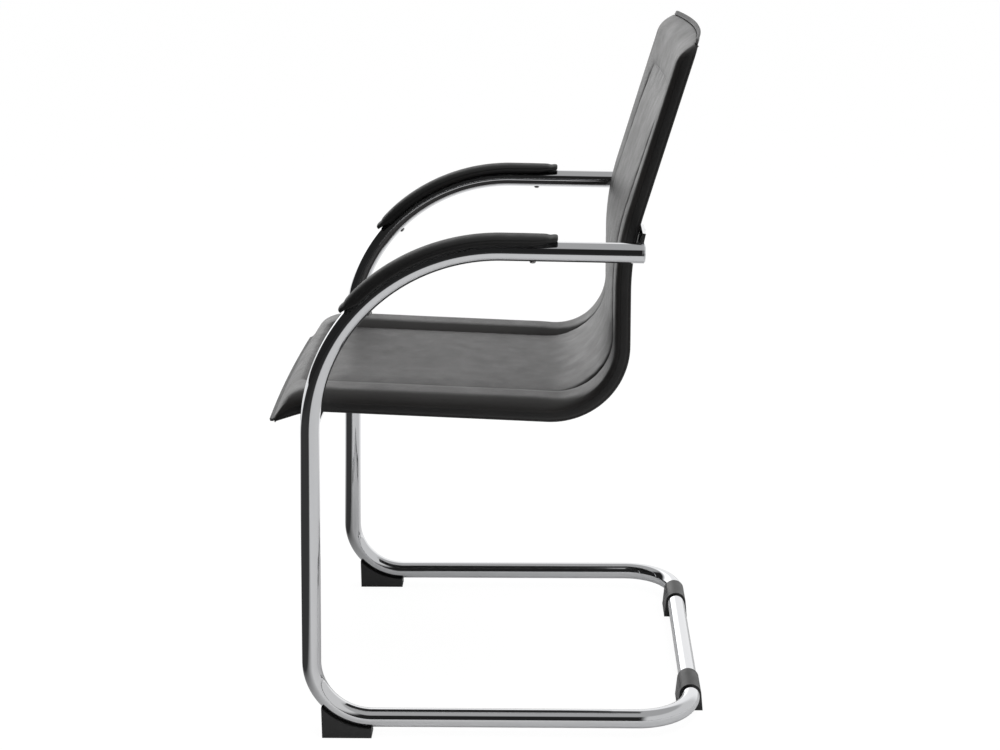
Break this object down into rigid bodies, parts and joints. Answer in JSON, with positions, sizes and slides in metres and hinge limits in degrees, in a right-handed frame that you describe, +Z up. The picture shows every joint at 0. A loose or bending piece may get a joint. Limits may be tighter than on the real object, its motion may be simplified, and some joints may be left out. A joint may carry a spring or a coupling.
{
  "type": "cantilever armchair",
  "caption": "Cantilever armchair: bent chromed tube frame with arm pads and floor glides carries a thin, black upholstered seat-and-back shell with sewn borders.",
  "frame": {"origin": "on the floor, under the middle of the chair's bounding box", "axes": "+Z up, the seat faces -Y, +X towards the sitter's left arm"},
  "size_m": [0.566, 0.5833, 0.922],
  "materials": {
    "chrome_tube": "bright chrome plate, polished",
    "black_leather": "grained, semi-matte, sewn",
    "leather_cover": "grained, matte, stretched",
    "arm_pad_plastic": "moulded soft-touch plastic, fine grain",
    "glide_plastic": "moulded, satin",
    "zinc_screw": "zinc plated",
    "painted_frame": "black powder coat",
    "suspension_web": "woven, matte"
  },
  "bodies": {
    "root": {"arm_end_cap_left": "chrome_tube", "arm_end_cap_right": "chrome_tube", "arm_pad_left": "arm_pad_plastic", "arm_pad_right": "arm_pad_plastic", "arm_pad_screws": "zinc_screw", "back_top_bar": "painted_frame", "border_padding": "black_leather", "centre_panel": "black_leather", "front_bracket_left": "chrome_tube", "front_bracket_right": "chrome_tube", "front_glide_left": "glide_plastic", "front_glide_right": "glide_plastic", "front_glide_screws": "zinc_screw", "front_hem": "leather_cover", "joint_spigot_left": "painted_frame", "joint_spigot_right": "painted_frame", "lumbar_bar": "painted_frame", "rear_bracket_left": "chrome_tube", "rear_bracket_right": "chrome_tube", "rear_cover": "leather_cover", "rear_cross_tube": "chrome_tube", "rear_glide_left": "glide_plastic", "rear_glide_right": "glide_plastic", "seat_front_bar": "painted_frame", "seat_rear_bar": "painted_frame", "shell_bolts": "zinc_screw", "shell_rail_left": "painted_frame", "shell_rail_right": "painted_frame", "side_frame_left": "chrome_tube", "side_frame_right": "chrome_tube", "side_strip_left": "leather_cover", "side_strip_right": "leather_cover", "suspension_fabric": "suspension_web", "top_hem": "leather_cover"}
  },
  "joints": []
}
